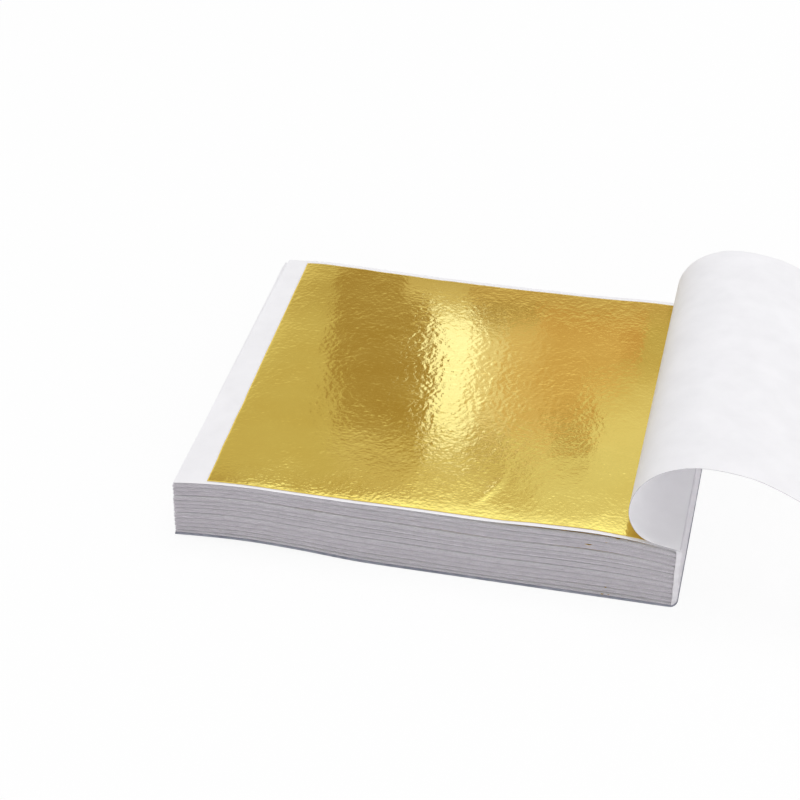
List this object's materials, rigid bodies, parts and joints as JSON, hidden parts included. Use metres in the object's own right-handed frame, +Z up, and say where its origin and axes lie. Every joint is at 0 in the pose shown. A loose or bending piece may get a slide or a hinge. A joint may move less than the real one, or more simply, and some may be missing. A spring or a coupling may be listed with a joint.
{
  "type": "gold leaf booklet",
  "caption": "Thick pad of square metal leaves between paper interleaves glued along one side; the top interleaf is turned back and curls down to the table, baring the first leaf.",
  "frame": {"origin": "middle of the pad's underside, where its backing card begins to lie flat on the table", "axes": "+X from the fore edge to the glued spine, +Y from the front to the back, +Z up through the pad"},
  "size_m": [0.1504, 0.0854, 0.0315],
  "materials": {
    "interleaf_paper": "matte",
    "metal_leaf": "polished",
    "backing_card": "matte",
    "padding_glue": "satin"
  },
  "bodies": {
    "pad": {"backing_card": "backing_card", "spine_glue": "padding_glue", "top_interleaf": "interleaf_paper", "turned_sheet_hem": "interleaf_paper", "interleaves_003_to_011": "interleaf_paper", "interleaves_012_to_020": "interleaf_paper", "interleaves_021_to_029": "interleaf_paper", "interleaves_030_to_038": "interleaf_paper", "interleaves_039_to_047": "interleaf_paper", "interleaves_048_to_056": "interleaf_paper", "interleaves_057_to_065": "interleaf_paper", "interleaves_066_to_074": "interleaf_paper", "interleaves_075_to_083": "interleaf_paper", "interleaves_084_to_092": "interleaf_paper", "interleaves_093_to_101": "interleaf_paper", "leaves_002_to_010": "metal_leaf", "leaves_011_to_019": "metal_leaf", "leaves_020_to_028": "metal_leaf", "leaves_029_to_037": "metal_leaf", "leaves_038_to_046": "metal_leaf", "leaves_047_to_055": "metal_leaf", "leaves_056_to_064": "metal_leaf", "leaves_065_to_073": "metal_leaf", "leaves_074_to_082": "metal_leaf", "leaves_083_to_091": "metal_leaf", "leaves_092_to_100": "metal_leaf"},
    "loose_leaf": {"open_leaf": "metal_leaf"},
    "page_1": {"turned_sheet_strip_1": "interleaf_paper"},
    "page_2": {"turned_sheet_strip_2": "interleaf_paper"},
    "page_3": {"turned_sheet_strip_3": "interleaf_paper"},
    "page_4": {"turned_sheet_strip_4": "interleaf_paper"},
    "page_5": {"turned_sheet_strip_5": "interleaf_paper"},
    "page_6": {"turned_sheet_strip_6": "interleaf_paper"}
  },
  "joints": [
    {"name": "page_turn", "type": "hinge", "parent": "pad", "child": "page_1", "pos_m": [0.03832, 0, 0.01446], "axis": [0.0502, -0.9987, -0.0093], "range_deg": [0, 48.96]},
    {"name": "page_bend_2", "type": "hinge", "parent": "page_1", "child": "page_2", "pos_m": [0.03634, 0.00005, 0.01735], "axis": [0.0214, -0.9992, 0.0329], "range_deg": [0, 44.45]},
    {"name": "page_bend_3", "type": "hinge", "parent": "page_2", "child": "page_3", "pos_m": [0.03696, 0.00025, 0.023], "axis": [0.0214, -0.9992, 0.0329], "range_deg": [0, 38.14]},
    {"name": "page_bend_4", "type": "hinge", "parent": "page_3", "child": "page_4", "pos_m": [0.04131, 0.0005, 0.02777], "axis": [0.0214, -0.9992, 0.0329], "range_deg": [0, 31.62]},
    {"name": "page_bend_5", "type": "hinge", "parent": "page_4", "child": "page_5", "pos_m": [0.04936, 0.00075, 0.03008], "axis": [0.0214, -0.9992, 0.0329], "range_deg": [0, 27.1]},
    {"name": "page_bend_6", "type": "hinge", "parent": "page_5", "child": "page_6", "pos_m": [0.06384, 0.00097, 0.02724], "axis": [0.0214, -0.9992, 0.0329], "range_deg": [0, 22.59]},
    {"name": "leaf_slide", "type": "slide", "parent": "pad", "child": "loose_leaf", "axis": [-0.9842, 0, 0.1772], "range_m": [0, 0.095]}
  ],
  "couplings": [
    {"joint": "page_bend_2", "follows": "page_turn", "ratio": 0.90781},
    {"joint": "page_bend_3", "follows": "page_turn", "ratio": 0.77881},
    {"joint": "page_bend_4", "follows": "page_turn", "ratio": 0.64571},
    {"joint": "page_bend_5", "follows": "page_turn", "ratio": 0.55347},
    {"joint": "page_bend_6", "follows": "page_turn", "ratio": 0.46122}
  ]
}
